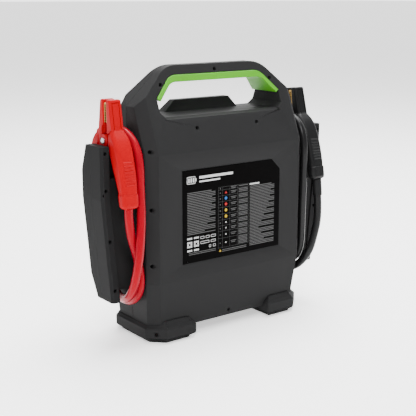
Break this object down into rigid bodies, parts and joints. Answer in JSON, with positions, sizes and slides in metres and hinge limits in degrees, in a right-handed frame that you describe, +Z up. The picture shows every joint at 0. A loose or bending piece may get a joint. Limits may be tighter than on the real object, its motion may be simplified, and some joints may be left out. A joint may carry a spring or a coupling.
{
  "type": "jump starter pack",
  "caption": "Portable engine jump starter with a top carrying handle, side wings that park two booster clamps on captive cables, and a control face.",
  "frame": {"origin": "centre of the footprint on the floor, under the standing pack, measured without the cables and clamps", "axes": "+Z up, -Y out of the label face, +Y out of the control face, +X to the right when facing the label side from -Y, that is from -Y"},
  "size_m": [0.413, 0.1318, 0.4],
  "materials": {
    "case_plastic": "fine grain",
    "holster_plastic": "fine grain",
    "foot_plastic": "fine grain",
    "sole_rubber": "matte",
    "grip_green": "soft satin",
    "label_film": "satin film",
    "black_screw": "black oxide",
    "red_plastic": "semi gloss",
    "black_plastic": "semi gloss",
    "tooth_brass": "stamped",
    "rivet_steel": "polished",
    "red_cord": "semi gloss",
    "black_cord": "semi gloss",
    "battery": "foil pouch",
    "inner_plastic": "moulded",
    "circuit_board": "solder mask",
    "copper_alloy": "plain",
    "socket_metal": "stamped",
    "clear_lens": "clear",
    "screen_dark": "glossy",
    "reflector": "bright",
    "button_green": "satin"
  },
  "bodies": {
    "pack": {"battery_cells": "battery", "battery_tray": "inner_plastic", "black_cable": "black_cord", "black_cable_sleeve": "black_cord", "black_clamp_cable_half": "black_plastic", "black_clamp_cable_teeth": "tooth_brass", "black_clamp_rivet": "rivet_steel", "black_clamp_spring": "rivet_steel", "black_lead": "black_cord", "busbars": "copper_alloy", "button_switches": "inner_plastic", "case_screws": "black_screw", "cell_tabs": "copper_alloy", "control_board": "circuit_board", "door_pin": "rivet_steel", "foot_screws": "black_screw", "front_shell": "case_plastic", "fuse_link": "inner_plastic", "handle_grip": "grip_green", "holster_bolts": "black_screw", "lamp_board": "circuit_board", "lamp_lens": "clear_lens", "lamp_reflector": "reflector", "lead_lugs": "copper_alloy", "left_cable_boot": "red_cord", "left_foot": "foot_plastic", "left_holster": "holster_plastic", "left_sole": "sole_rubber", "left_wing_front": "case_plastic", "left_wing_rear": "case_plastic", "main_board": "circuit_board", "port_panel": "holster_plastic", "port_sockets": "socket_metal", "power_relays": "inner_plastic", "rear_label": "label_film", "rear_shell": "case_plastic", "red_cable": "red_cord", "red_clamp_cable_half": "red_plastic", "red_clamp_cable_teeth": "tooth_brass", "red_clamp_rivet": "rivet_steel", "red_clamp_spring": "rivet_steel", "red_lead": "red_cord", "right_cable_boot": "black_cord", "right_foot": "foot_plastic", "right_holster": "holster_plastic", "right_sole": "sole_rubber", "right_wing_front": "case_plastic", "right_wing_rear": "case_plastic", "screen_lens": "clear_lens", "screen_module": "screen_dark", "selector_switch": "inner_plastic", "wing_screws": "black_screw"},
    "red_lever": {"red_clamp_lever_half": "red_plastic", "red_clamp_lever_teeth": "tooth_brass"},
    "black_lever": {"black_clamp_lever_half": "black_plastic", "black_clamp_lever_teeth": "tooth_brass"},
    "selector": {"selector_knob": "holster_plastic"},
    "power": {"power_button": "button_green"},
    "boost": {"boost_button": "button_green"},
    "door": {"port_door": "case_plastic"}
  },
  "joints": [
    {"name": "red_clamp_hinge", "type": "hinge", "parent": "pack", "child": "red_lever", "pos_m": [-0.1774, -0.01, 0.301], "axis": [-1, 0, 0], "range_deg": [0, 25], "stiffness_Nm_per_rad": 2, "springref_deg": -11.46},
    {"name": "black_clamp_hinge", "type": "hinge", "parent": "pack", "child": "black_lever", "pos_m": [0.1774, -0.00073, 0.2959], "axis": [-1, 0, 0], "range_deg": [0, 25], "stiffness_Nm_per_rad": 2, "springref_deg": -11.46},
    {"name": "selector_turn", "type": "hinge", "parent": "pack", "child": "selector", "pos_m": [0, 0.05, 0.222], "axis": [0, 1, 0], "range_deg": [-60, 60]},
    {"name": "power_press", "type": "slide", "parent": "pack", "child": "power", "axis": [0, -1, 0], "range_m": [0, 0.002], "stiffness_N_per_m": 600},
    {"name": "boost_press", "type": "slide", "parent": "pack", "child": "boost", "axis": [0, -1, 0], "range_m": [0, 0.002], "stiffness_N_per_m": 600},
    {"name": "door_hinge", "type": "hinge", "parent": "pack", "child": "door", "pos_m": [0, 0.0576, 0.1066], "axis": [-1, 0, 0], "range_deg": [0, 105]}
  ]
}
